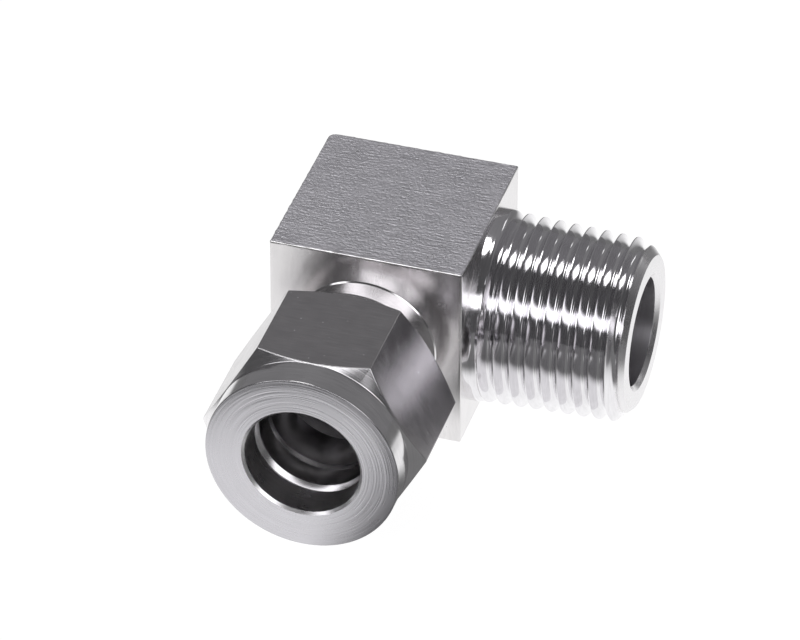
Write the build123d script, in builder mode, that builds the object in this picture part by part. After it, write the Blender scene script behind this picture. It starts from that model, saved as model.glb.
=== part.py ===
"""Right-angle compression elbow for 1/2 inch tube, with a 1/2 inch tapered male pipe thread.

The body is machined from square bar. A nut and two ferrules grip a tube on the front port,
and the side port screws into a tapped hole. The frame's origin is the centre of the block's
bottom face, straight below the point where the two port axes cross: +X runs out along the
male thread, -Y runs out through the nut, and +Z is up. Distances along a port are measured
from the crossing of the axes.
"""
import os
from math import cos, radians, sqrt, tan

from build123d import *

# Square bar that the body is cut from
bar_width = 22.225
block_height = 23.0
bar_corner_radius = 0.9

# Tube, and the passages through the body
tube_diameter = 12.7
socket_clearance = 0.08
tube_stop = 11.5
tube_stop_step = 1.23
socket_length = 8.0
seat_half_angle = 20.0
outlet_radius = 6.2
outlet_mouth_chamfer = 0.35
outlet_overrun = 0.5
drill_point_half_angle = 59.0

# Front port: a plain neck, then the straight thread that the nut runs on
neck_wall = 1.67
nose_thread_start = 14.6
nose_wall = 1.4
nose_thread_chamfer = 0.65
nose_tip = 23.8
nose_tip_chamfer = 0.65

# Side port: tapered pipe thread, with one ridge for each pitch
pipe_thread_length = 18.1
pipe_pitch = 1.814
pipe_taper = 1 / 32
pipe_end_radius = 10.36
pipe_thread_depth = 1.2
pipe_ridges = 8
pipe_lead_length = 2.65
pipe_end_chamfer = 0.8
pipe_end_chamfer_drop = 0.4
shank_radius = 11.0
shank_length = 0.95

# Nut: its wall over the thread makes it 22.225 mm across flats, the same as the bar
nut_flat_wall = 1.5625
nut_length = 16.6
nut_gap = 6.64
hexagon_length = 13.1
hexagon_chamfer_angle = 30.0
collar_step = 0.0825
thread_clearance = 0.05
nut_thread_length = 7.6
nut_mouth_chamfer = 0.65
ferrule_room_clearance = 0.25
nut_bore_clearance = 0.25
nut_bore_length = 3.95
nut_lip_chamfer = 0.3

# Ferrules
ferrule_clearance = 0.1
ferrule_wall = 1.65
seat_gap = 0.05
back_ferrule_rear_wall = 0.65
back_ferrule_chamfer = 0.5
back_ferrule_rim_length = 1.5
back_nose_length = 0.9
back_nose_root_wall = 0.75
back_nose_tip_wall = 0.35
recess_clearance = 0.12
recess_depth = 1.75
front_nose_wall = 0.35

# Worked out from the sizes above: every ring round the tube takes its radius from the tube's
axis_height = block_height / 2
block_face = bar_width / 2
tube_radius = tube_diameter / 2
socket_radius = tube_radius + socket_clearance
inlet_radius = socket_radius - tube_stop_step
neck_radius = socket_radius + neck_wall
nut_bore_radius = tube_radius + nut_bore_clearance
ferrule_bore_radius = tube_radius + ferrule_clearance
ferrule_radius = ferrule_bore_radius + ferrule_wall
ferrule_room_radius = ferrule_radius + ferrule_room_clearance
back_ferrule_rear_radius = ferrule_bore_radius + back_ferrule_rear_wall
back_nose_root_radius = ferrule_bore_radius + back_nose_root_wall
back_nose_tip_radius = ferrule_bore_radius + back_nose_tip_wall
nose_thread_radius = ferrule_radius + nose_wall
socket_end = tube_stop + socket_length
seat_slope = tan(radians(seat_half_angle))
seat_mouth_radius = socket_radius + (nose_tip - socket_end) * seat_slope
pipe_end = block_face + pipe_thread_length
nut_back = block_face + nut_gap
nut_face = nut_back + nut_length
hexagon_end = nut_back + hexagon_length
shoulder = nut_face - nut_bore_length
nut_thread_radius = nose_thread_radius + thread_clearance
nut_across_flats = 2 * (nut_thread_radius + nut_flat_wall)
collar_radius = nut_across_flats / 2 - collar_step
hexagon_chamfer_slope = tan(radians(hexagon_chamfer_angle))

# The nut's shoulder is a 45 degree cone, so a gap along its normal is sqrt(2) wider along the axis
back_ferrule_rear = shoulder - (back_ferrule_rear_radius - nut_bore_radius) - seat_gap * sqrt(2)
back_ferrule_rim = back_ferrule_rear - (ferrule_radius - back_ferrule_rear_radius)
front_ferrule_rear = back_ferrule_rim - back_ferrule_rim_length

crossing = (0, 0, axis_height)
tube_axis = Axis(crossing, (0, -1, 0))
pipe_axis = Axis(crossing, (1, 0, 0))

# On both half planes the sketch's X runs out along the port, and its Y is the radius
tube_half_plane = Plane(origin=crossing, x_dir=(0, -1, 0), z_dir=(-1, 0, 0))
pipe_half_plane = Plane(origin=crossing, x_dir=(1, 0, 0), z_dir=(0, -1, 0))


def pipe_crest_radius(distance):
    """Radius of the tapered thread's crests at a distance from the crossing."""
    return pipe_end_radius + (pipe_end - distance) * pipe_taper


def pipe_thread_outline():
    """Roots and crests of the tapered thread, from the shank out to the last root."""
    first_root = pipe_end - pipe_lead_length - (pipe_ridges - 0.5) * pipe_pitch
    outline = [(first_root, pipe_crest_radius(first_root) - pipe_thread_depth)]
    for ridge in range(pipe_ridges):
        crest = first_root + (ridge + 0.5) * pipe_pitch
        root = crest + pipe_pitch / 2
        outline.append((crest, pipe_crest_radius(crest)))
        outline.append((root, pipe_crest_radius(root) - pipe_thread_depth))
    return outline


with BuildPart() as elbow_body:
    # Block cut from the bar: only the far corner, away from both ports, keeps the bar's round edge
    Box(bar_width, bar_width, block_height, align=(Align.CENTER, Align.CENTER, Align.MIN))
    far_corner = elbow_body.edges().filter_by(Axis.Z).sort_by(Axis.X)[:2].sort_by(Axis.Y)[-1]
    fillet(far_corner, radius=bar_corner_radius)

    # Front port: neck, thread and flat tip
    with BuildSketch(tube_half_plane):
        with BuildLine():
            Polyline(
                (0, 0),
                (0, neck_radius),
                (nose_thread_start, neck_radius),
                (nose_thread_start, nose_thread_radius - nose_thread_chamfer),
                (nose_thread_start + nose_thread_chamfer, nose_thread_radius),
                (nose_tip - nose_tip_chamfer, nose_thread_radius),
                (nose_tip, nose_thread_radius - nose_tip_chamfer),
                (nose_tip, 0),
                close=True,
            )
        make_face()
    revolve(axis=tube_axis)

    # Side port: shank, tapered thread, plain lead and end chamfer
    with BuildSketch(pipe_half_plane):
        thread_outline = pipe_thread_outline()
        lead_radius = thread_outline[-1][1]
        with BuildLine():
            Polyline(
                (0, 0),
                (0, shank_radius),
                (block_face + shank_length, shank_radius),
                *thread_outline,
                (pipe_end - pipe_end_chamfer, lead_radius),
                (pipe_end, lead_radius - pipe_end_chamfer_drop),
                (pipe_end, 0),
                close=True,
            )
        make_face()
    revolve(axis=pipe_axis)

    # Tube socket with its conical seat, narrowing at the tube stop to the inlet passage
    with BuildSketch(tube_half_plane):
        with BuildLine():
            Polyline(
                (0, 0),
                (0, inlet_radius),
                (tube_stop, inlet_radius),
                (tube_stop, socket_radius),
                (socket_end, socket_radius),
                (nose_tip, seat_mouth_radius),
                (nose_tip, 0),
                close=True,
            )
        make_face()
    revolve(axis=tube_axis, mode=Mode.SUBTRACT)

    # Outlet passage, drilled past the crossing far enough for the whole inlet to open into it
    with BuildSketch(pipe_half_plane):
        drilled_depth = inlet_radius + outlet_overrun
        drill_point = drilled_depth + outlet_radius / tan(radians(drill_point_half_angle))
        with BuildLine():
            Polyline(
                (-drill_point, 0),
                (-drilled_depth, outlet_radius),
                (pipe_end - outlet_mouth_chamfer, outlet_radius),
                (pipe_end, outlet_radius + outlet_mouth_chamfer),
                (pipe_end, 0),
                close=True,
            )
        make_face()
    revolve(axis=pipe_axis, mode=Mode.SUBTRACT)

elbow_body.part.label = "elbow_body"


with BuildPart() as nut:
    # Hexagon with its corners turned back to a cone at both ends
    nut_end_plane = Plane(origin=(0, -nut_back, axis_height), x_dir=(1, 0, 0), z_dir=(0, -1, 0))
    with BuildSketch(nut_end_plane):
        RegularPolygon(radius=nut_across_flats / 2, side_count=6, major_radius=False)
    extrude(amount=hexagon_length)
    corner_radius = nut_across_flats / sqrt(3)
    with BuildSketch(tube_half_plane):
        back_chamfer = (corner_radius - nut_across_flats / 2) * hexagon_chamfer_slope
        front_chamfer = (corner_radius - collar_radius) * hexagon_chamfer_slope
        with BuildLine():
            Polyline(
                (nut_back, 0),
                (nut_back, nut_across_flats / 2),
                (nut_back + back_chamfer, corner_radius),
                (hexagon_end - front_chamfer, corner_radius),
                (hexagon_end, collar_radius),
                (hexagon_end, 0),
                close=True,
            )
        make_face()
    revolve(axis=tube_axis, mode=Mode.INTERSECT)

    # Round collar in front of the hexagon
    with BuildSketch(tube_half_plane):
        with BuildLine():
            Polyline(
                (hexagon_end, 0),
                (hexagon_end, collar_radius),
                (nut_face, collar_radius),
                (nut_face, 0),
                close=True,
            )
        make_face()
    revolve(axis=tube_axis)

    # Thread bore from the back, room for the ferrules, 45 degree shoulder, and the tube's bore
    with BuildSketch(tube_half_plane):
        step = nut_back + nut_thread_length
        with BuildLine():
            Polyline(
                (nut_back, 0),
                (nut_back, nut_thread_radius + nut_mouth_chamfer),
                (nut_back + nut_mouth_chamfer, nut_thread_radius),
                (step, nut_thread_radius),
                (step + nut_thread_radius - ferrule_room_radius, ferrule_room_radius),
                (shoulder - (ferrule_room_radius - nut_bore_radius), ferrule_room_radius),
                (shoulder, nut_bore_radius),
                (nut_face - nut_lip_chamfer, nut_bore_radius),
                (nut_face, nut_bore_radius + nut_lip_chamfer),
                (nut_face, 0),
                close=True,
            )
        make_face()
    revolve(axis=tube_axis, mode=Mode.SUBTRACT)

nut.part.label = "nut"


with BuildPart() as back_ferrule:
    # Short ring: 45 degree rear cone against the nut's shoulder, and a nose for the front ferrule
    with BuildSketch(tube_half_plane):
        with BuildLine():
            Polyline(
                (front_ferrule_rear - back_nose_length, ferrule_bore_radius),
                (front_ferrule_rear - back_nose_length, back_nose_tip_radius),
                (front_ferrule_rear, back_nose_root_radius),
                (front_ferrule_rear, ferrule_radius),
                (back_ferrule_rim, ferrule_radius),
                (back_ferrule_rear, back_ferrule_rear_radius),
                (back_ferrule_rear, ferrule_bore_radius + back_ferrule_chamfer),
                (back_ferrule_rear - back_ferrule_chamfer, ferrule_bore_radius),
                close=True,
            )
        make_face()
    revolve(axis=tube_axis)

back_ferrule.part.label = "back_ferrule"


with BuildPart() as front_ferrule:
    # Long ring: its cone lies in the body's seat, and its rear is recessed for the other's nose
    with BuildSketch(tube_half_plane):
        seat_drop = seat_gap / cos(radians(seat_half_angle))
        nose_radius = ferrule_bore_radius + front_nose_wall
        nose = socket_end + (nose_radius + seat_drop - socket_radius) / seat_slope
        cone_end = nose + (ferrule_radius - nose_radius) / seat_slope
        recess_radius = back_nose_root_radius + recess_clearance
        with BuildLine():
            Polyline(
                (nose, ferrule_bore_radius),
                (nose, nose_radius),
                (cone_end, ferrule_radius),
                (front_ferrule_rear, ferrule_radius),
                (front_ferrule_rear, recess_radius),
                (front_ferrule_rear - recess_depth, ferrule_bore_radius),
                close=True,
            )
        make_face()
    revolve(axis=tube_axis)

front_ferrule.part.label = "front_ferrule"


os.makedirs("parts", exist_ok=True)
export_step(elbow_body.part, "parts/elbow_body.step")
export_step(nut.part, "parts/nut.step")
export_step(back_ferrule.part, "parts/back_ferrule.step")
export_step(front_ferrule.part, "parts/front_ferrule.step")
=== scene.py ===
# %% [markdown]
# A compression elbow is turned and sawn from stainless bar, so nearly all of its look is metal:
# a sawn block end full of specks, mirror-bright threads, satin spanner flats and a turned face.
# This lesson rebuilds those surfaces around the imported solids, which stay where they are.
# The sizes below repeat the solids' own, in millimetres, and the frame gives the overall ones.

# %% Load the frame
import math
import random

import bmesh
import bpy
import numpy as np
from mathutils import Matrix, Vector


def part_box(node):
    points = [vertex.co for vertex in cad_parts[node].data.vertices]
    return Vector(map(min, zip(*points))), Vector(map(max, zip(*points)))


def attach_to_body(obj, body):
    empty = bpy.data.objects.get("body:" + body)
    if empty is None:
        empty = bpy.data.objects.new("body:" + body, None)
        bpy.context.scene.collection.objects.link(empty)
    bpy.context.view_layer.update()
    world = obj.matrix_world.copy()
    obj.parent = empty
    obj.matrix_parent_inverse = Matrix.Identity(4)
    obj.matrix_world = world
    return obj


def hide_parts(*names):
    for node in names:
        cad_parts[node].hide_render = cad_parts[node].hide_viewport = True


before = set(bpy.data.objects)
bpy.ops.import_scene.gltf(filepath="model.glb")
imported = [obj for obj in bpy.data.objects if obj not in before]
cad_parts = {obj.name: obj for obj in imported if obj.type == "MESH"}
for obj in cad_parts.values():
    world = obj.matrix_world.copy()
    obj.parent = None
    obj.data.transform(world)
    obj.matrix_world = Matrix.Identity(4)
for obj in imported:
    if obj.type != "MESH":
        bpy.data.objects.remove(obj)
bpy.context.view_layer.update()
MM = 0.001

# %% [markdown]
# Sizes come from the frame where it holds them: the block's width and height from the body's
# box, the axes' height from half of that, and the ends of the ports and the nut from their
# boxes. The rest are the turned details that a box can't give, measured along each port from
# where the axes cross.

# %% Sizes in millimetres
body_low, body_high = (np.array(corner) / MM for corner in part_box("elbow_body"))
nut_low, nut_high = (np.array(corner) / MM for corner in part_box("nut"))
block_width = -2 * body_low[0]
block_height = body_high[2]
axis_height = block_height / 2
block_face = block_width / 2
pipe_end = body_high[0]
nose_tip = -body_low[1]
nut_back, nut_face = -nut_high[1], -nut_low[1]
nut_flats = nut_high[2] - nut_low[2]

corner_radius = 0.9
shank_radius = 11.0
shank_end = block_face + 0.95
pipe_pitch = 1.814
pipe_taper = 1 / 32
pipe_crest_radius = 10.36
pipe_thread_depth = 1.17
pipe_last_crest = 26.7
outlet_radius = 6.2
outlet_lip = 0.52
end_chamfer_radius = 8.78

neck_radius = 8.1
nose_thread_start = 14.6
nose_thread_radius = 9.5
nose_pitch = 1.27
nose_thread_depth = 0.78
socket_radius = 6.43
seat_mouth_radius = 7.995
socket_end = 19.5
tube_stop = 11.5
inlet_radius = 5.2

thread_lead_in = 0.65
sunk_in_block = 0.6
hexagon_end = nut_back + 13.1
collar_radius = 11.03
thread_clearance = 0.05
nut_thread_end = nut_back + 7.6
ferrule_room_radius = 8.35
nut_bore_radius = 6.6
shoulder = nut_face - 3.95
print(f"block {block_width:.3f} by {block_height:.3f} mm, nut {nut_flats:.3f} mm across flats")

# %% [markdown]
# Shader and geometry trees are built by the same two small helpers. Signal wraps an output
# socket, so that sums on it read as plain arithmetic and each operator adds one Math node.
# Nodes holds the tree, and its add method makes any other node: settings first, then sockets.
# A socket that shares its name with another is given by its number, such as _6.

# %% Helpers for node trees


class Signal:
    """An output socket that can be used in arithmetic; each operation adds a Math node."""

    def __init__(self, tree, socket):
        self.tree = tree
        self.socket = socket

    def math(self, operation, *others):
        node = self.tree.nodes.new("ShaderNodeMath")
        node.operation = operation
        for place, value in enumerate((self, *others)):
            attach(self.tree, value, node.inputs[place])
        return Signal(self.tree, node.outputs[0])

    def __add__(self, other):
        return self.math("ADD", other)

    def __sub__(self, other):
        return self.math("SUBTRACT", other)

    def __mul__(self, other):
        return self.math("MULTIPLY", other)

    def __truediv__(self, other):
        return self.math("DIVIDE", other)

    def __pow__(self, other):
        return self.math("POWER", other)

    def __neg__(self):
        return self.math("MULTIPLY", -1.0)

    def __radd__(self, other):
        return self.math("ADD", other)

    def __rmul__(self, other):
        return self.math("MULTIPLY", other)

    def __rsub__(self, other):
        return self.math("MULTIPLY", -1.0).math("ADD", other)

    def __rtruediv__(self, other):
        return (self ** -1.0).math("MULTIPLY", other)

    def floor(self):
        return self.math("FLOOR")

    def fraction(self):
        return self.math("FRACT")

    def size(self):
        return self.math("ABSOLUTE")

    def least(self, other):
        return self.math("MINIMUM", other)

    def most(self, other):
        return self.math("MAXIMUM", other)

    def step(self, start, end):
        """0 before start, 1 after end, and a smooth step between them."""
        share = ((self - start) / (end - start)).most(0.0).least(1.0)
        return share * share * (3.0 - 2.0 * share)

    def output(self, name):
        """Another output of the same node."""
        return Signal(self.tree, self.socket.node.outputs[name])


def attach(tree, value, socket):
    if isinstance(value, Signal):
        tree.links.new(value.socket, socket)
    else:
        socket.default_value = value


class Nodes:
    """A node tree, with one method that adds any node that isn't a Math node."""

    def __init__(self, tree):
        self.tree = tree

    def add(self, kind, settings=None, output=0, **sockets):
        node = self.tree.nodes.new(kind)
        for name, value in (settings or {}).items():
            setattr(node, name, value)
        for name, value in sockets.items():
            key = int(name[1:]) if name[1:].isdigit() else name.replace("_", " ")
            attach(self.tree, value, node.inputs[key])
        return Signal(self.tree, node.outputs[output]) if node.outputs else None

    def axes(self, vector):
        """The three coordinates of a vector."""
        east = self.add("ShaderNodeSeparateXYZ", {}, Vector=vector)
        return east, east.output("Y"), east.output("Z")


# %% [markdown]
# A screw thread is a surface that follows a rule: its radius depends only on how far a point
# is from the crest's helix. A grid of points is sheared along that helix and rolled up, so
# each row of points runs along the thread and the crests stay crisp. Past one turn the grid
# meets itself one pitch on, where Merge by Distance welds it. Rows beyond either end collapse
# onto the end plane, and the outermost rows go to the axis, which closes the solid.

# %% Geometry Nodes tree for a screw thread
thread_sizes = {
    "Pitch": 1.0,
    "Start": 0.0,
    "End": 1.0,
    "Crest at": 0.0,
    "End crest radius": 1.0,
    "Taper": 0.0,
    "Depth": 0.1,
    "Groove power": 2.6,
    "Fade start": 0.0,
    "Fade end": 0.1,
    "Shank radius": 1.0,
    "Start limit radius": 1.0,
    "Start limit slope": 1.0,
    "End limit radius": 1.0,
    "End limit slope": 1.0,
}
thread_columns = 224
rows_per_pitch = 16


def thread_tree(name, turns, columns, rows_per_pitch):
    """Node group that makes a closed threaded rod along +X from its named sizes."""
    tree = bpy.data.node_groups.new(name, "GeometryNodeTree")
    tree.interface.new_socket("Geometry", in_out="OUTPUT", socket_type="NodeSocketGeometry")
    for label, default in thread_sizes.items():
        socket = tree.interface.new_socket(label, in_out="INPUT", socket_type="NodeSocketFloat")
        socket.default_value = default
    tree.interface.new_socket("Material", in_out="INPUT", socket_type="NodeSocketMaterial")
    nodes = Nodes(tree)
    entry = nodes.add("NodeGroupInput")
    size = {label: entry.output(label) for label in thread_sizes}
    rows = (turns + 4) * rows_per_pitch

    grid = nodes.add("GeometryNodeMeshGrid", {}, Vertices_X=columns + 1, Vertices_Y=rows)
    index = nodes.add("GeometryNodeInputIndex")
    column = (index / rows + 0.5 / rows).floor()
    row = index - column * rows
    turn = column / columns

    before = ((size["Start"] - size["Crest at"]) / size["Pitch"]).floor() - 2.0
    along = size["Crest at"] + size["Pitch"] * (before + (row + 0.5) / rows_per_pitch + turn)
    along = along.most(size["Start"]).least(size["End"])

    phase = ((along - size["Crest at"]) / size["Pitch"] - turn + 64.0).fraction()
    from_root = (phase * 2.0 - 1.0).size() / (1.0 - 1.0 / rows_per_pitch)
    groove = (1.0 - from_root ** size["Groove power"]).most(0.0)
    crest = size["End crest radius"] + (size["End"] - along) * size["Taper"]
    fade = along.step(size["Fade start"], size["Fade end"])
    threaded = crest - size["Depth"] * groove * fade
    radius = size["Shank radius"] + (threaded - size["Shank radius"]) * fade
    for end, inward in (("Start", along - size["Start"]), ("End", size["End"] - along)):
        chamfer = size[end + " limit radius"] + inward * size[end + " limit slope"]
        radius = radius.least(chamfer)
    on_surface = row.math("GREATER_THAN", 0.5) * row.math("LESS_THAN", rows - 1.5)
    radius = radius * on_surface
    along = along + row.math("LESS_THAN", 0.5) * (size["Start"] - along)
    along = along + row.math("GREATER_THAN", rows - 1.5) * (size["End"] - along)

    angle = turn * (2 * math.pi)
    place = nodes.add(
        "ShaderNodeCombineXYZ",
        {},
        X=along,
        Y=radius * angle.math("COSINE"),
        Z=radius * angle.math("SINE"),
    )
    rolled = nodes.add("GeometryNodeSetPosition", {}, Geometry=grid, Position=place)
    welded = nodes.add("GeometryNodeMergeByDistance", {}, Geometry=rolled, Distance=0.0005 * MM)
    real = nodes.add("GeometryNodeRealizeInstances", {}, Geometry=welded)
    finish = entry.output("Material")
    finished = nodes.add("GeometryNodeSetMaterial", {}, Geometry=real, Material=finish)
    nodes.add("NodeGroupOutput", {}, Geometry=finished)
    return tree


def plain_mesh(carrier):
    """The evaluated mesh of an object with modifiers, as a mesh with none."""
    bpy.context.view_layer.update()
    graph = bpy.context.evaluated_depsgraph_get()
    mesh = bpy.data.meshes.new_from_object(carrier.evaluated_get(graph))
    bpy.data.objects.remove(carrier)
    return mesh


def run_tree(tree, name, sizes, material):
    """Plain mesh from a node group, with its inputs set by their sockets' identifiers."""
    carrier = bpy.data.objects.new(name, bpy.data.meshes.new(name))
    bpy.context.scene.collection.objects.link(carrier)
    modifier = carrier.modifiers.new(name, "NODES")
    modifier.node_group = tree
    items = [item for item in tree.interface.items_tree if item.in_out == "INPUT"]
    sockets = {item.name: item.identifier for item in items}
    for label, value in sizes.items():
        modifier[sockets[label]] = value
    modifier[sockets["Material"]] = material
    return plain_mesh(carrier)


# %% [markdown]
# Each finish starts as one Principled metal whose colour, roughness and fine relief vary over
# the surface. A cutter leaves lines, so the relief is noise that changes fast across the lines
# and slowly along them. Lines follow x, y or z, or the distance from a port's axis for a face
# that was turned on a lathe. All of it reads object coordinates, turned into millimetres.

# %% One helper for every machined finish
grain_scale = 2.6
cloud_scale = 0.45
speck_scale = 2.0
scale_along_lines = 0.35
rough_swing = 0.25
dull_share = 0.86
speck_gloss = 0.55
speck_height = 0.6
speck_colour = (1.0, 0.98, 1.0)


def mixed(nodes, factor, first, second):
    """Colour between two colours; a factor of 1 gives the second."""
    first, second = (
        colour if isinstance(colour, Signal) else (*colour, 1.0) for colour in (first, second)
    )
    settings = {"data_type": "RGBA"}
    return nodes.add("ShaderNodeMix", settings, output=2, _0=factor, _6=first, _7=second)


def noise(nodes, place, scale, detail):
    """Soft random values about 0.5, with features about 1 / scale across."""
    return nodes.add("ShaderNodeTexNoise", {}, Vector=place, Scale=scale, Detail=detail)


def machined(name, colour, rough, lines_across, line_scale, relief, specks=0.0, grain=0.0):
    """Metal with tool lines; specks and grain add a sawn face's bright bits and rough ground.

    Sizes are in millimetres, scales are per millimetre, and specks is the share of cells lit.
    """
    material = bpy.data.materials.new(name)
    material.use_nodes = True
    tree = material.node_tree
    nodes = Nodes(tree)
    shader = tree.nodes["Principled BSDF"]
    shader.inputs["Metallic"].default_value = 1.0

    here = nodes.add("ShaderNodeTexCoord", {}, output="Object")
    place = nodes.add("ShaderNodeVectorMath", {"operation": "SCALE"}, _0=here, _3=1 / MM)
    x, y, z = nodes.axes(place)
    height = z - axis_height
    across, slow_one, slow_two = {
        "x": (x, y, z),
        "y": (y, x, z),
        "z": (z, x, y),
        "radius": ((x * x + height * height) ** 0.5, x * 0.3, height * 0.3),
        "pipe radius": ((y * y + height * height) ** 0.5, y * 0.3, height * 0.3),
    }[lines_across]

    stretched = nodes.add(
        "ShaderNodeCombineXYZ",
        {},
        X=across * line_scale,
        Y=slow_one * scale_along_lines,
        Z=slow_two * scale_along_lines,
    )
    lines = noise(nodes, stretched, 1.0, 3.0)
    ground = noise(nodes, place, grain_scale, 3.0)
    clouds = noise(nodes, place, cloud_scale, 2.0)
    relief_height = lines + ground * grain
    unevenness = rough_swing * (clouds - 0.5) * 2.0 + rough_swing * (lines - 0.5) * 2.0
    roughness = rough * (1.0 + unevenness)
    dull = tuple(dull_share * part for part in colour)
    tone = mixed(nodes, (lines - 0.5) * 1.6 + 0.5 + (clouds - 0.5) * 0.8, dull, colour)
    if specks:
        near = nodes.add("ShaderNodeTexVoronoi", {}, "Distance", Vector=place, Scale=speck_scale)
        draw = nodes.add("ShaderNodeSeparateColor", {}, Color=near.output("Color"))
        bright = (1.0 - near.step(0.08, 0.26)) * draw.step(1.0 - specks, 1.0 - specks + 0.02)
        tone = mixed(nodes, bright, tone, speck_colour)
        roughness = roughness * (1.0 - bright * speck_gloss)
        relief_height = relief_height + bright * speck_height
    attach(tree, tone, shader.inputs["Base Color"])
    attach(tree, roughness.most(0.04).least(0.9), shader.inputs["Roughness"])
    depth = relief * MM
    bump = nodes.add("ShaderNodeBump", {}, Strength=1.0, Distance=depth, Height=relief_height)
    attach(tree, bump, shader.inputs["Normal"])
    return material


# %% [markdown]
# Fourteen finishes dress the four pieces. A drawn bar's side and a thread are nearly mirrors, so
# their roughness is between 0.1 and 0.25. The nut's face has the coarse rings of a facing tool,
# the sawn end has the most relief, and a drilled hole's colour is darkened: painted shade for
# the little light that comes back from it.

# %% Finishes
sawn = machined("sawn_bar_end", (0.90, 0.885, 0.93), 0.42, "y", 3.5, 0.060, specks=0.34, grain=1.6)
bar_side = machined("drawn_bar_side", (0.82, 0.805, 0.81), 0.24, "x", 1.5, 0.0006)
burred = machined("burred_edge", (0.95, 0.94, 0.95), 0.30, "z", 6.0, 0.010, specks=0.3, grain=1.5)
thread_metal = machined("turned_pipe_thread", (0.84, 0.83, 0.85), 0.11, "x", 7.0, 0.0009)
neck_metal = machined("turned_neck", (0.84, 0.825, 0.83), 0.12, "y", 7.0, 0.0009)
end_metal = machined("turned_pipe_end", (0.86, 0.85, 0.86), 0.28, "pipe radius", 6.0, 0.002)
bore_metal = machined("bored_passage", (0.92, 0.91, 0.92), 0.30, "y", 6.0, 0.003)
# Painted shade: the drilled passage's colour is much darker than the bored one's.
drilled_metal_painted_shade = machined("drilled_passage_painted_shade", (0.52, 0.51, 0.53), 0.34, "x", 5.0, 0.004)
flat_metal = machined("satin_hexagon", (0.57, 0.555, 0.565), 0.22, "y", 4.5, 0.0012, specks=0.07)
chamfer_metal = machined("turned_chamfer", (0.88, 0.87, 0.88), 0.15, "radius", 6.0, 0.0032)
collar_metal = machined("turned_collar", (0.78, 0.77, 0.78), 0.14, "y", 6.0, 0.0026)
face_metal = machined("turned_nut_face", (0.64, 0.63, 0.66), 0.27, "radius", 4.2, 0.042)
back_metal = machined("turned_nut_back", (0.80, 0.79, 0.80), 0.12, "radius", 6.0, 0.0008)
ferrule_metal = machined("turned_ferrule", (0.70, 0.69, 0.70), 0.22, "y", 8.0, 0.002)
print("finishes", len(bpy.data.materials))

# %% [markdown]
# Everything that was turned on a lathe is a profile spun round its port's axis. A profile is
# a list of points, each a distance along the port and a radius. Real corners are never quite
# sharp: a tiny round on each is what draws the thin white line round the nut's mouth, so the
# corners are eased first. A profile that starts and ends on the axis gives a closed solid.

# %% Helpers for turned shapes
lathe_columns = 192
tube_port = Matrix.Translation((0, 0, axis_height * MM)) @ Matrix(
    ((0, 1, 0, 0), (-1, 0, 0, 0), (0, 0, 1, 0), (0, 0, 0, 1))
)
pipe_port = Matrix.Translation((0, 0, axis_height * MM))


def eased(profile, rounding, closed=False, steps=3):
    """The profile with each corner that has room replaced by a small arc."""
    points = [Vector(point) for point in profile]
    count = len(points)
    result = []
    for number, corner in enumerate(points):
        if not closed and number in (0, count - 1):
            result.append(corner)
            continue
        before, after = points[number - 1], points[(number + 1) % count]
        back, forth = before - corner, after - corner
        if back.length == 0 or forth.length == 0 or corner.y == 0:
            result.append(corner)
            continue
        half = back.angle(forth) / 2
        cut = rounding / math.tan(half)
        cut = min(cut, 0.4 * back.length, 0.4 * forth.length)
        first, last = corner + back.normalized() * cut, corner + forth.normalized() * cut
        for step in range(steps + 1):
            share = step / steps
            result.append(
                first * (1 - share) ** 2 + corner * (2 * share * (1 - share)) + last * share**2
            )
    return [tuple(point) for point in result]


def spun(name, profile, port, columns=lathe_columns, closed=False):
    """Mesh of a profile in millimetres spun round a port's axis, closed and facing outwards."""
    rings = np.array(profile, float) * MM
    turn = np.arange(columns) * (2 * math.pi / columns)
    points = np.stack(
        [
            np.repeat(rings[:, :1], columns, axis=1),
            rings[:, 1:] * np.cos(turn),
            rings[:, 1:] * np.sin(turn),
        ],
        axis=-1,
    )
    count = len(rings)
    faces = []
    for row in range(count if closed else count - 1):
        following = (row + 1) % count
        for column in range(columns):
            beside = (column + 1) % columns
            faces.append(
                (
                    row * columns + column,
                    following * columns + column,
                    following * columns + beside,
                    row * columns + beside,
                )
            )
    return clean_mesh(name, points.reshape(-1, 3), faces, port)


def clean_mesh(name, points, faces, port):
    """Mesh in the part's frame, with doubles merged and normals pointing outwards."""
    mesh = bpy.data.meshes.new(name)
    mesh.from_pydata([tuple(point) for point in points], [], faces)
    work = bmesh.new()
    work.from_mesh(mesh)
    bmesh.ops.remove_doubles(work, verts=work.verts, dist=0.0005 * MM)
    bmesh.ops.dissolve_degenerate(work, edges=work.edges, dist=0.0002 * MM)
    bmesh.ops.recalc_face_normals(work, faces=work.faces)
    work.to_mesh(mesh)
    work.free()
    mesh.transform(port)
    return mesh


print("spun shapes have", lathe_columns, "columns")

# %% [markdown]
# Solids are added and cut with Boolean modifiers. The Manifold solver is fast and exact, but it
# leaves the piece unchanged when a mesh isn't closed, so each result is checked for open edges.

# %% Helpers for joining solids


def joined(name, first, *steps):
    """Solid made from the first mesh by adding or cutting the others in turn."""
    helpers = []
    piece = bpy.data.objects.new(name, first)
    bpy.context.scene.collection.objects.link(piece)
    for number, (operation, mesh) in enumerate(steps):
        helper = bpy.data.objects.new(name + "_step", mesh)
        bpy.context.scene.collection.objects.link(helper)
        helpers.append(helper)
        modifier = piece.modifiers.new(str(number), "BOOLEAN")
        modifier.operation = operation
        modifier.solver = "MANIFOLD"
        modifier.object = helper
    result = plain_mesh(piece)
    for helper in helpers:
        bpy.data.objects.remove(helper)
    print(name, "has", len(result.polygons), "faces and", open_edges(result), "open edges")
    return result


def open_edges(mesh):
    """Number of edges that don't have exactly two faces."""
    used = np.zeros(len(mesh.edges), int)
    corners = np.zeros(len(mesh.loops), int)
    mesh.loops.foreach_get("edge_index", corners)
    np.add.at(used, corners, 1)
    return int((used != 2).sum())


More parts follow.
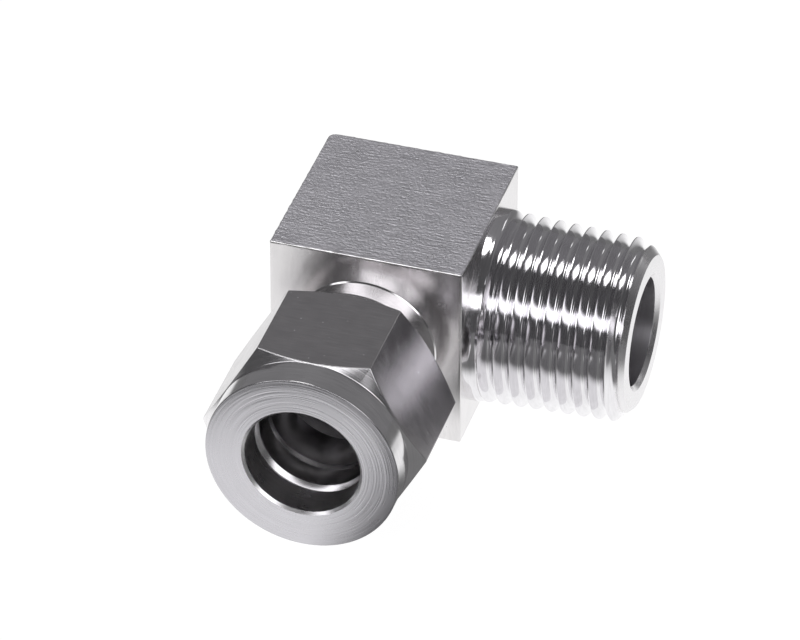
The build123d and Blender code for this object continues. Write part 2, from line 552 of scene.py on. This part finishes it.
# %% [markdown]
# The block is sawn from drawn square bar. Its sides are smooth, and the saw leaves a ragged
# little edge round the top that catches the light as a broken white line. So the edge's width
# and its lip vary along the outline, from a fixed seed. Only the far left edge keeps the bar's
# own round corner.

# %% Outline of the block
saw = random.Random(71)
outline_step = 0.24
edge_radius = 0.13
side_room = 9.0


def bar_outline():
    """Points and outward directions round the block, with the far left corner rounded."""
    corners = (
        (1, -1, edge_radius, 3),
        (1, 1, edge_radius, 3),
        (-1, 1, corner_radius, 8),
        (-1, -1, edge_radius, 3),
    )
    half = block_width / 2
    result = []
    for number, (side_x, side_y, radius, steps) in enumerate(corners):
        start_angle = math.radians(90 * number - 90)
        centre = Vector((side_x * (half - radius), side_y * (half - radius)))
        for step in range(steps + 1):
            angle = start_angle + math.radians(90) * step / steps
            outward = Vector((math.cos(angle), math.sin(angle)))
            result.append((centre + outward * radius, outward, radius, (side_x, side_y)))
        next_x, next_y, next_radius = corners[(number + 1) % 4][:3]
        end_angle = start_angle + math.radians(90)
        outward = Vector((math.cos(end_angle), math.sin(end_angle)))
        here = centre + outward * radius
        next_centre = Vector((next_x * (half - next_radius), next_y * (half - next_radius)))
        there = next_centre + outward * next_radius
        count = round((there - here).length / outline_step)
        for place in range(1, count):
            result.append((here.lerp(there, place / count), outward, side_room, (0, 0)))
    return result


def ragged(count, low, high, reach):
    """Random numbers round a loop, smoothed over a few neighbours."""
    raw = np.array([saw.random() for _ in range(count)])
    kernel = np.ones(reach) / reach
    smooth = np.convolve(np.concatenate([raw, raw[:reach]]), kernel, "same")[:count]
    spread = (smooth - smooth.min()) / (smooth.max() - smooth.min())
    return low + (high - low) * spread


outline = bar_outline()
outline_count = len(outline)
outline_points, outline_outward, outline_room, outline_corner = (
    np.array([entry[part] for entry in outline], float) for part in range(4)
)
edge_width = ragged(outline_count, 0.05, 0.17, 3)
edge_lip = ragged(outline_count, -0.05, 0.05, 2).clip(0.0)
foot_width = ragged(outline_count, 0.06, 0.12, 3)
still = np.zeros(outline_count)
print("outline has", outline_count, "points, lip up to", round(edge_lip.max(), 3), "mm")

# %% [markdown]
# The block itself is a stack of these outlines, from the foot to the top, with a few rings
# close together where the edge rolls over. A ring that is moved in must not cross itself at a
# corner, so an arc only shrinks by a part of its radius and then moves as a whole.

# %% Block


def block_ring(inset, level, scale=1.0):
    """The outline moved in by an inset that may vary; a corner's arc keeps some of its size."""
    inset = np.asarray(inset)
    shrink = np.minimum(inset, 0.7 * outline_room)
    moved = outline_points - outline_outward * shrink[:, None]
    moved -= outline_corner * (inset - shrink)[:, None]
    return np.column_stack([moved * scale, np.broadcast_to(level, outline_count)])


rings = [
    block_ring(still, 0.0, 0.8),
    block_ring(foot_width + 0.08, 0.0),
    block_ring(foot_width, 0.0),
    block_ring(foot_width * 0.3, foot_width * 0.3),
    block_ring(still, foot_width),
    block_ring(still, 0.3),
    *(block_ring(still, level) for level in np.linspace(2.0, block_height - 3.0, 6)),
    block_ring(still, block_height - 0.3),
    block_ring(-edge_lip * 0.6, block_height - edge_width),
    block_ring(edge_width * 0.3 - edge_lip, block_height - edge_width * 0.3 + edge_lip * 0.4),
    block_ring(edge_width, block_height + edge_lip * 0.3),
    block_ring(edge_width + 0.08, block_height),
    block_ring(still, block_height, 0.8),
]
ring_count = len(rings)
block_points = np.concatenate(rings + [[[0, 0, 0.0], [0, 0, block_height]]]) * MM
block_faces = []
for ring in range(ring_count - 1):
    for place in range(outline_count):
        beside = (place + 1) % outline_count
        low, high = ring * outline_count, (ring + 1) * outline_count
        block_faces.append((low + place, low + beside, high + beside, high + place))
foot_centre = ring_count * outline_count
for place in range(outline_count):
    beside = (place + 1) % outline_count
    top = (ring_count - 1) * outline_count
    block_faces.append((beside, place, foot_centre))
    block_faces.append((top + place, top + beside, foot_centre + 1))
block = clean_mesh("block", block_points, block_faces, Matrix.Identity(4))
print("block has", len(block.polygons), "faces, open edges", open_edges(block))

# %% [markdown]
# The pipe thread is a right-hand helix on a cone, one in sixteen across. Beside the block the
# tool runs out, so the groove fades into a plain shank, and at the far end a steep chamfer
# cuts the last crest away. The body's other thread is straight, finer, and hides in the nut.

# %% Threads of the body
pipe_tree = thread_tree("tapered_pipe_thread", 11, thread_columns, rows_per_pitch)
pipe_rod = run_tree(
    pipe_tree,
    "pipe_rod",
    {
        "Pitch": pipe_pitch * MM,
        "Start": (block_face - sunk_in_block) * MM,
        "End": pipe_end * MM,
        "Crest at": (pipe_last_crest - 0.146 * pipe_pitch) * MM,
        "End crest radius": pipe_crest_radius * MM,
        "Taper": pipe_taper,
        "Depth": pipe_thread_depth * MM,
        "Groove power": 2.15,
        "Fade start": (shank_end - 0.25) * MM,
        "Fade end": (shank_end + 1.5) * MM,
        "Shank radius": shank_radius * MM,
        "Start limit radius": shank_radius * MM,
        "Start limit slope": 1.0,
        "End limit radius": end_chamfer_radius * MM,
        "End limit slope": 1.0,
    },
    thread_metal,
)
pipe_rod.transform(pipe_port)
nose_tree = thread_tree("straight_nose_thread", 9, 144, 10)
nose_rod = run_tree(
    nose_tree,
    "nose_rod",
    {
        "Pitch": nose_pitch * MM,
        "Start": nose_thread_start * MM,
        "End": nose_tip * MM,
        "Crest at": nose_tip * MM,
        "End crest radius": nose_thread_radius * MM,
        "Taper": 0.0,
        "Depth": nose_thread_depth * MM,
        "Groove power": 1.4,
        "Fade start": (nose_thread_start - 1) * MM,
        "Fade end": (nose_thread_start - 0.5) * MM,
        "Shank radius": nose_thread_radius * MM,
        "Start limit radius": (nose_thread_radius - thread_lead_in) * MM,
        "Start limit slope": 1.0,
        "End limit radius": (nose_thread_radius - thread_lead_in) * MM,
        "End limit slope": 1.0,
    },
    neck_metal,
)
nose_rod.transform(tube_port)
print("pipe rod", len(pipe_rod.polygons), "faces, open edges", open_edges(pipe_rod))
print("nose rod", len(nose_rod.polygons), "faces, open edges", open_edges(nose_rod))

# %% [markdown]
# The body is one piece cut from bar: block, neck and both threads are added together, and
# then the two passages are cut, which meet inside the block. The outlet is drilled from the
# thread's end and stops in a drill point. The inlet narrows at the stop that the tube meets.

# %% Body
neck = spun(
    "neck",
    eased(
        [
            (block_face - sunk_in_block, 0),
            (block_face - sunk_in_block, neck_radius + 0.15),
            (block_face + 0.01, neck_radius + 0.15),
            (block_face + 0.16, neck_radius),
            (nose_thread_start + 0.5, neck_radius),
            (nose_thread_start + 0.5, 0),
        ],
        0.05,
    ),
    tube_port,
)
outlet_cutter = spun(
    "outlet",
    eased(
        [
            (-inlet_radius - 0.5 - outlet_radius / math.tan(math.radians(59)), 0),
            (-inlet_radius - 0.5, outlet_radius),
            (pipe_end - outlet_lip, outlet_radius),
            (pipe_end + 0.02, outlet_radius + outlet_lip + 0.02),
            (pipe_end + 1.0, outlet_radius + outlet_lip + 0.02),
            (pipe_end + 1.0, 0),
        ],
        0.06,
    ),
    pipe_port,
)
inlet_cutter = spun(
    "inlet",
    eased(
        [
            (0.0, 0),
            (0.0, inlet_radius),
            (tube_stop, inlet_radius),
            (tube_stop, socket_radius),
            (socket_end, socket_radius),
            (nose_tip + 0.001, seat_mouth_radius),
            (nose_tip + 1.0, seat_mouth_radius),
            (nose_tip + 1.0, 0),
        ],
        0.05,
    ),
    tube_port,
)
body_mesh = joined(
    "elbow_body_finished",
    block,
    ("UNION", neck),
    ("UNION", nose_rod),
    ("UNION", pipe_rod),
    ("DIFFERENCE", outlet_cutter),
    ("DIFFERENCE", inlet_cutter),
)

# %% [markdown]
# One piece of metal can still have several finishes. Each face takes its finish from where it
# lies: sawn ends, drawn sides, burred edges, turned threads and bored passages. The finishes
# go in as material slots of the one mesh, so it stays a single solid.

# %% Finishes of the body
on_sawn_end, on_side, on_burr, on_thread, on_neck, on_pipe_end, in_inlet, in_outlet = range(8)
drill_point = -10.2
burr_depth = 0.19
foot_depth = 0.13
pipe_end_length = 0.9


def face_centres(mesh):
    """Centre in millimetres and direction of each face."""
    centres = np.zeros(len(mesh.polygons) * 3)
    normals = np.zeros(len(mesh.polygons) * 3)
    mesh.polygons.foreach_get("center", centres)
    mesh.polygons.foreach_get("normal", normals)
    return centres.reshape(-1, 3) / MM, normals.reshape(-1, 3)


def dress(mesh, finishes, chosen):
    """Gives the mesh its finishes, one slot each, and its shading."""
    mesh.materials.clear()
    for finish in finishes:
        mesh.materials.append(finish)
    mesh.polygons.foreach_set("material_index", np.asarray(chosen, np.int32))
    mesh.shade_smooth()
    mesh.set_sharp_from_angle(angle=math.radians(38))
    mesh.update()


def body_finish(mesh):
    """Number of the finish of each face of the body; later lines overrule earlier ones."""
    centre, normal = face_centres(mesh)
    x, y, z = centre.T
    up = z - axis_height
    from_pipe_axis = np.hypot(y, up)
    from_tube_axis = np.hypot(x, up)
    inside_block = (np.abs(x) <= block_face + 0.06) & (np.abs(y) <= block_face + 0.06)
    chosen = np.full(len(x), on_thread)
    chosen[inside_block] = on_side
    chosen[inside_block & (np.abs(normal[:, 2]) > 0.95)] = on_sawn_end
    near_end = (z > block_height - burr_depth) | (z < foot_depth)
    chosen[inside_block & near_end & (np.abs(normal[:, 2]) < 0.97)] = on_burr
    chosen[y < -block_face - 0.01] = on_neck
    at_pipe_end = x > pipe_end - pipe_end_length
    chosen[at_pipe_end & (from_pipe_axis > outlet_radius + 0.05)] = on_pipe_end
    hole = (from_pipe_axis < outlet_radius + 0.02) & (x > drill_point)
    chosen[hole & (np.abs(x) < pipe_end) & (np.abs(y) < outlet_radius + 0.1)] = in_outlet
    in_mouth = (y < -inlet_radius) & (y > -nose_tip)
    chosen[(from_tube_axis < seat_mouth_radius - 0.01) & in_mouth] = in_inlet
    chosen[inside_block & (y < -block_face + 0.005) & (normal[:, 1] < -0.9)] = on_side
    return chosen


body_finishes = [
    sawn,
    bar_side,
    burred,
    thread_metal,
    neck_metal,
    end_metal,
    bore_metal,
    drilled_metal_painted_shade,
]
dress(body_mesh, body_finishes, body_finish(body_mesh))
print("faces of each finish", np.bincount(body_finish(body_mesh), minlength=len(body_finishes)))


def placed(name, mesh, body, node):
    """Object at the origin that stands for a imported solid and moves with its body."""
    piece = bpy.data.objects.new(name, mesh)
    bpy.context.scene.collection.objects.link(piece)
    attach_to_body(piece, body)
    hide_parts(node)


placed("elbow_body_finished", body_mesh, "body", "elbow_body")

# %% [markdown]
# The nut is turned and drilled from hexagon bar. A cone takes its corners back at both ends,
# which leaves a curved line on every flat, and the collar in front is turned round. A column
# of points runs along the nut at each angle, so the flats, both curved lines and the rounded
# corner edges all come from one rule for the radius at that angle.

# %% Nut's outside
cone_slope = math.tan(math.radians(30))
corner_round = 0.16
flat_columns = 15
back_cap_radius = 10.6
face_cap_radius = 9.6


def hexagon_angles():
    """Angles of the columns, close together at the six corners."""
    rounded_width = corner_round * math.tan(math.radians(30))
    half_round = math.degrees(rounded_width / (nut_flats / math.sqrt(3)))
    near_corner = [-2.2, -1.6, -1.0, -0.66, -0.33, 0.0, 0.33, 0.66, 1.0, 1.6, 2.2]
    result = []
    for corner in range(6):
        result += [60 * corner + share * half_round for share in near_corner]
        start, end = 60 * corner + 2.2 * half_round, 60 * corner + 60 - 2.2 * half_round
        result += list(np.linspace(start, end, flat_columns + 2)[1:-1])
    return np.radians(result)


def hexagon_radius(angle):
    """Distance of the rounded hexagon from its axis; corners lie at 0, 60, 120 degrees and on."""
    apothem = nut_flats / 2
    sixth = math.radians(30)
    from_corner = abs((angle + sixth) % (2 * sixth) - sixth)
    if apothem * math.tan(sixth - from_corner) < (apothem - corner_round) * math.tan(sixth):
        return apothem / math.cos(sixth - from_corner)
    centre = (apothem - corner_round) / math.cos(sixth)
    aside = centre * math.sin(from_corner)
    return centre * math.cos(from_corner) + math.sqrt(corner_round**2 - aside**2)


def nut_profile(angle):
    """The nut's outside at one angle, from its back to its face."""
    radius = hexagon_radius(angle)
    back_rim = nut_flats / 2 - 0.08
    back_line = nut_back + (radius - back_rim) * cone_slope
    front_line = hexagon_end - (radius - collar_radius) * cone_slope
    back = eased(
        [
            (nut_back, back_cap_radius),
            (nut_back, back_rim),
            (back_line, radius),
            (back_line + 0.4, radius),
        ],
        0.1,
    )
    front = eased(
        [
            (front_line - 0.4, radius),
            (front_line, radius),
            (hexagon_end, collar_radius),
            (nut_face, collar_radius),
            (nut_face, face_cap_radius),
        ],
        0.13,
    )
    return back + front


print("hexagon corners", round(2 * hexagon_radius(0.0), 2), "mm across")

# %% [markdown]
# The blank is the columns side by side, closed with a fan at each end. It is a solid without
# holes as yet, so that the bore can be cut from it in one go.

# %% Nut's blank
angles = hexagon_angles()
profiles = np.array([nut_profile(angle) for angle in angles])
nut_rings = profiles.shape[1]
nut_points = np.stack(
    [
        profiles[:, :, 0],
        profiles[:, :, 1] * np.cos(angles)[:, None],
        profiles[:, :, 1] * np.sin(angles)[:, None],
    ],
    axis=-1,
).reshape(-1, 3)
nut_points = np.concatenate([nut_points, [[nut_back, 0, 0], [nut_face, 0, 0]]]) * MM
nut_faces = []
for column in range(len(angles)):
    beside = (column + 1) % len(angles)
    first, second = column * nut_rings, beside * nut_rings
    for ring in range(nut_rings - 1):
        nut_faces.append((first + ring, first + ring + 1, second + ring + 1, second + ring))
    nut_faces.append((first, second, len(nut_points) - 2))
    nut_faces.append((first + nut_rings - 1, second + nut_rings - 1, len(nut_points) - 1))
nut_blank = clean_mesh("nut_blank", nut_points, nut_faces, tube_port)
print("nut blank", len(nut_blank.polygons), "faces, open edges", open_edges(nut_blank))

# %% [markdown]
# Inside, the nut is one long bore with steps: a tapped thread at the back, room for the two
# ferrules, a cone that pushes them, and the hole that the tube passes through. The cutter is a
# single spun solid, and a threaded rod cuts the grooves out of the bore's wall behind it.

# %% Nut
tap_depth = 0.62
tap_reach = 0.6
nut_cutter = spun(
    "nut_cutter",
    eased(
        [
            (nut_back - 1.0, 0),
            (nut_back - 1.0, nose_thread_radius + thread_lead_in + 1.05),
            (nut_back, nose_thread_radius + thread_clearance + thread_lead_in),
            (nut_back + thread_lead_in, nose_thread_radius + thread_clearance),
            (nut_thread_end, nose_thread_radius + thread_clearance),
            (nut_thread_end + 1.2, ferrule_room_radius),
            (shoulder - (ferrule_room_radius - nut_bore_radius), ferrule_room_radius),
            (shoulder, nut_bore_radius),
            (nut_face - 0.3, nut_bore_radius),
            (nut_face + 0.02, nut_bore_radius + 0.32),
            (nut_face + 1.0, nut_bore_radius + 0.32),
            (nut_face + 1.0, 0),
        ],
        0.07,
    ),
    tube_port,
)
tap_tree = thread_tree("nut_tap_thread", 8, 144, 10)
tap = run_tree(
    tap_tree,
    "tap",
    {
        "Pitch": nose_pitch * MM,
        "Start": (nut_back - 0.5) * MM,
        "End": (nut_thread_end - 0.1) * MM,
        "Crest at": nose_tip * MM,
        "End crest radius": (nose_thread_radius + tap_reach) * MM,
        "Taper": 0.0,
        "Depth": tap_depth * MM,
        "Groove power": 1.3,
        "Fade start": (nut_back - 3) * MM,
        "Fade end": (nut_back - 2) * MM,
        "Shank radius": nose_thread_radius * MM,
        "Start limit radius": (nose_thread_radius + tap_reach) * MM,
        "Start limit slope": 1.0,
        "End limit radius": (nose_thread_radius - 0.1) * MM,
        "End limit slope": 0.6,
    },
    bore_metal,
)
tap.transform(tube_port)
nut_mesh = joined("nut_finished", nut_blank, ("DIFFERENCE", nut_cutter), ("DIFFERENCE", tap))

# %% [markdown]
# The nut's faces get their finishes in the same way as the body's. The cones at both ends of
# the hexagon are turned, so they carry rings, while the flats keep the lines of the drawn bar.

# %% Finishes of the nut
on_flat, on_chamfer, on_collar, on_face, in_bore, on_back = range(6)


def nut_finish(mesh):
    """Number of the finish of each face of the nut; later lines overrule earlier ones."""
    centre, normal = face_centres(mesh)
    x, y, z = centre.T
    along = -y
    from_axis = np.hypot(x, z - axis_height)
    steep = np.abs(normal[:, 1]) >= 0.25
    chosen = np.full(len(x), in_bore)
    outside = from_axis > 10.7
    chosen[outside & (along <= hexagon_end) & ~steep] = on_flat
    chosen[outside & (along <= hexagon_end + 0.03) & steep] = on_chamfer
    chosen[outside & (along > hexagon_end)] = on_collar
    chosen[along > nut_face - 0.02] = on_face
    chosen[along < nut_back + 0.02] = on_back
    return chosen


nut_finishes = [flat_metal, chamfer_metal, collar_metal, face_metal, bore_metal, back_metal]
dress(nut_mesh, nut_finishes, nut_finish(nut_mesh))
placed("nut_finished", nut_mesh, "nut", "nut")
print("faces of each finish", np.bincount(nut_finish(nut_mesh), minlength=len(nut_finishes)))

# %% [markdown]
# Two ferrules lie in the nut. The front one is a long ring whose cone sits in the body's seat,
# and the back one pushes into its recess. They are turned rings, so each is one closed profile
# spun round the tube port's axis, with its corners eased.

# %% Ferrules
ferrule_bore = 6.45
ferrule_rim = 8.1
front_low, front_high = (np.array(corner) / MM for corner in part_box("front_ferrule"))
back_low, back_high = (np.array(corner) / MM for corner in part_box("back_ferrule"))
front_nose, front_rear = -front_high[1], -front_low[1]
back_nose, back_rear = -back_high[1], -back_low[1]
seat_slope = math.tan(math.radians(20))
front_profile = [
    (front_nose, ferrule_bore),
    (front_nose, ferrule_bore + 0.35),
    (front_nose + 1.3 / seat_slope, ferrule_rim),
    (front_rear, ferrule_rim),
    (front_rear, 7.32),
    (front_rear - 1.75, ferrule_bore),
]
back_profile = [
    (back_nose, ferrule_bore),
    (back_nose, 6.8),
    (back_nose + 0.9, 7.2),
    (back_nose + 0.9, ferrule_rim),
    (back_rear - 1.0, ferrule_rim),
    (back_rear, 7.1),
    (back_rear, ferrule_bore + 0.5),
    (back_rear - 0.5, ferrule_bore),
]
for name, profile in (("front_ferrule", front_profile), ("back_ferrule", back_profile)):
    ring = spun(name + "_finished", eased(profile, 0.05, closed=True), tube_port, closed=True)
    dress(ring, [ferrule_metal], np.zeros(len(ring.polygons)))
    placed(name + "_finished", ring, "ferrules", name)
    print(name, "from", round(-ring.vertices[0].co.y / MM, 2), "mm, open edges", open_edges(ring))

# %% [markdown]
# The floor is a white sheet, plain to the lens. Metal shows whatever is round it, so what the lens
# doesn't see matters as much as the lamps: in reflections the sheet glows with a painted pool of
# light near the object, greyer further off, and with a painted shadow in front of the thread,
# where the metal shows a dark stripe. The lens sees it white all over, with a part of the
# object's shadow.

# %% Floor
sheet_half = 2.4
floor_level = -0.00002
# Middle and edges of the painted pool of light that metal sees on the sheet.
painted_pool_middle = (0.002, -0.012, 0.0)
painted_pool_edge = (0.038, 0.066)
square = ((-1, -1), (1, -1), (1, 1), (-1, 1))


def stage_material(name):
    """Empty material and its tree, for the floor and the room."""
    material = bpy.data.materials.new(name)
    material.use_nodes = True
    material.node_tree.nodes.remove(material.node_tree.nodes["Principled BSDF"])
    return material, Nodes(material.node_tree)


def light_path(nodes, *outputs):
    """1 for rays of the named kinds, 0 for all others."""
    first = nodes.add("ShaderNodeLightPath", {}, outputs[0])
    total = first
    for output in outputs[1:]:
        total = total + first.output(output)
    return total.least(1.0)


floor_mesh = bpy.data.meshes.new("floor")
corners = [(side_x * sheet_half, side_y * sheet_half, floor_level) for side_x, side_y in square]
floor_mesh.from_pydata(corners, [], [(0, 1, 2, 3)])
sheet = bpy.data.objects.new("floor", floor_mesh)
bpy.context.scene.collection.objects.link(sheet)
paper, nodes = stage_material("white_sheet")
here = nodes.add("ShaderNodeTexCoord", {}, output="Object")
offset = nodes.add("ShaderNodeVectorMath", {"operation": "SUBTRACT"}, _0=here, _1=painted_pool_middle)
reach = nodes.add("ShaderNodeVectorMath", {"operation": "LENGTH"}, output="Value", _0=offset)
east, north = nodes.axes(here)[:2]
reach = reach * (1.0 - 0.28 * north.step(0.0, 0.015))
# Painted shadow in front of the thread and a painted pool of light, seen only in reflections.
painted_shadow_before_thread = east.step(-0.001, 0.009) * (-north).step(0.014, 0.022)
far = reach.step(*painted_pool_edge).most(painted_shadow_before_thread)
painted_pool_light = 1.25 - 1.1 * far
background = nodes.add("ShaderNodeEmission", {}, Color=(1, 1, 1, 1), Strength=1.22)
painted_pool_emission = nodes.add("ShaderNodeEmission", {}, Color=(1, 1, 1, 1), Strength=painted_pool_light)
matt = nodes.add("ShaderNodeBsdfDiffuse", {}, Color=(0.82, 0.82, 0.82, 1))
seen = nodes.add("ShaderNodeMixShader", {}, _0=0.78, _1=matt, _2=background)
in_metal = nodes.add("ShaderNodeMixShader", {}, _0=0.8, _1=matt, _2=painted_pool_emission)
camera_ray = light_path(nodes, "Is Camera Ray")
by_camera = nodes.add("ShaderNodeMixShader", {}, _0=camera_ray, _1=matt, _2=seen)
by_metal = nodes.add(
    "ShaderNodeMixShader",
    {},
    _0=light_path(nodes, "Is Glossy Ray", "Is Transmission Ray"),
    _1=by_camera,
    _2=in_metal,
)
attach(paper.node_tree, by_metal, paper.node_tree.nodes["Material Output"].inputs["Surface"])
floor_mesh.materials.append(paper)
print("floor", 2 * sheet_half, "m wide")

# %% [markdown]
# Polished metal that reflects white from every side looks like milk, so a dark room stands
# round the stage, with two bright panels. The front one draws the long bright band on the
# thread, and the side one lights the faces that are turned to the right. Panels are given by
# rise and bearing in degrees, and a bearing of 0 is the front. The room is hidden from the
# lens and casts no shadow.

# %% Room
room_radius = 2.5
wall_glow = 0.085
back_wall_glow = 0.13
panel_glow = 2.0
room_mesh = bpy.data.meshes.new("room")
work = bmesh.new()
bmesh.ops.create_uvsphere(work, u_segments=48, v_segments=24, radius=room_radius)
bmesh.ops.reverse_faces(work, faces=work.faces)
work.to_mesh(room_mesh)
work.free()
room = bpy.data.objects.new("room", room_mesh)
bpy.context.scene.collection.objects.link(room)
room.visible_camera = False
room.visible_shadow = False
dark, nodes = stage_material("dark_room")
east, north, up = nodes.axes(nodes.add("ShaderNodeTexCoord", {}, output="Object"))
rise = (up / room_radius).math("ARCSINE") * (180 / math.pi)
bearing = east.math("ARCTAN2", -north) * (180 / math.pi)


def panel(bottom, top, left, right):
    """1 inside a panel; each edge is a pair of degrees between which it fades."""
    upright = rise.step(*bottom) * (1.0 - rise.step(*top))
    return upright * bearing.step(*left) * (1.0 - bearing.step(*right))


front_panel = panel((27.0, 30.0), (41.0, 47.0), (-85.0, -60.0), (20.0, 40.0))
side_panel = panel((16.0, 22.0), (44.0, 54.0), (18.0, 34.0), (58.0, 75.0))
behind = (north / room_radius).step(0.1, 0.5)
wall_light = wall_glow + back_wall_glow * behind + panel_glow * front_panel.most(side_panel)
wall = nodes.add("ShaderNodeEmission", {}, Color=(0.98, 0.97, 1.0, 1), Strength=wall_light)
attach(dark.node_tree, wall, dark.node_tree.nodes["Material Output"].inputs["Surface"])
room_mesh.materials.append(dark)
print("room", room_radius, "m in radius, panels of strength", panel_glow)

# %% [markdown]
# The world is white for the lens and for reflections, where a strength of 1 is white, and a
# plain grey for everything else, so that it never adds more light on the object.

# %% World
world = bpy.data.worlds.new("white_beyond")
bpy.context.scene.world = world
world.use_nodes = True
nodes = Nodes(world.node_tree)
white = world.node_tree.nodes["Background"]
white.inputs["Color"].default_value = (1, 1, 1, 1)
plain = nodes.add("ShaderNodeBackground", {}, Color=(0.8, 0.8, 0.8, 1), Strength=0.5)
sky = nodes.add(
    "ShaderNodeMixShader",
    {},
    _0=light_path(nodes, "Is Camera Ray", "Is Glossy Ray", "Is Transmission Ray"),
    _1=plain,
    _2=Signal(world.node_tree, white.outputs[0]),
)
attach(world.node_tree, sky, world.node_tree.nodes["World Output"].inputs["Surface"])
print("world", world.name)

# %% [markdown]
# Two softboxes light the fitting. One hangs overhead: it draws the row of bright patches along
# the top of the thread and lights the sawn face. A weaker one behind keeps the far side from
# going black. Each is plain and white, and its energy follows from its size and brightness.

# %% Lamps
fitting_middle = Vector((0.005, -0.01, 0.012))


def softbox(name, direction, distance, wide, tall, radiance):
    """Area lamp of a given size whose face has a given brightness, aimed at the fitting."""
    lamp = bpy.data.lights.new(name, "AREA")
    lamp.shape = "RECTANGLE"
    lamp.size, lamp.size_y = wide, tall
    lamp.energy = radiance * math.pi * wide * tall
    holder = bpy.data.objects.new(name, lamp)
    outward = Vector(direction).normalized()
    holder.location = outward * distance + fitting_middle
    holder.rotation_mode = "QUATERNION"
    holder.rotation_quaternion = outward.to_track_quat("Z", "Y")
    holder.visible_camera = False
    bpy.context.scene.collection.objects.link(holder)
    print(name, "at", distance, "m,", wide, "by", tall, "m")


softbox("overhead_box", (-0.24, 0.28, 0.93), 0.9, 0.30, 0.30, 3.2)
softbox("back_box", (0.45, 0.85, 0.30), 1.2, 0.4, 0.2, 1.0)

# %% [markdown]
# The camera looks down at the fitting from the front right with a long lens, so that parallel
# edges stay nearly parallel. Its place was worked out from the block's and nut's corners.

# %% Camera
camera_data = bpy.data.cameras.new("camera")
camera_data.sensor_width = 36.0
camera_data.lens = 269.85
camera_data.clip_start, camera_data.clip_end = 0.05, 20.0
camera = bpy.data.objects.new("camera", camera_data)
bpy.context.scene.collection.objects.link(camera)
right = Vector((0.95564, 0.29451, 0.00349))
upward = Vector((-0.17685, 0.56431, 0.80640))
forward = Vector((-0.23552, 0.77125, -0.59136))
turned = Matrix((right, upward, -forward)).transposed().to_4x4()
camera.matrix_world = Matrix.Translation((0.16055, -0.52371, 0.40852)) @ turned
bpy.context.scene.camera = camera
bpy.context.scene.view_settings.view_transform = "Standard"
print("lens", camera_data.lens, "mm, camera at", tuple(camera.matrix_world.translation))
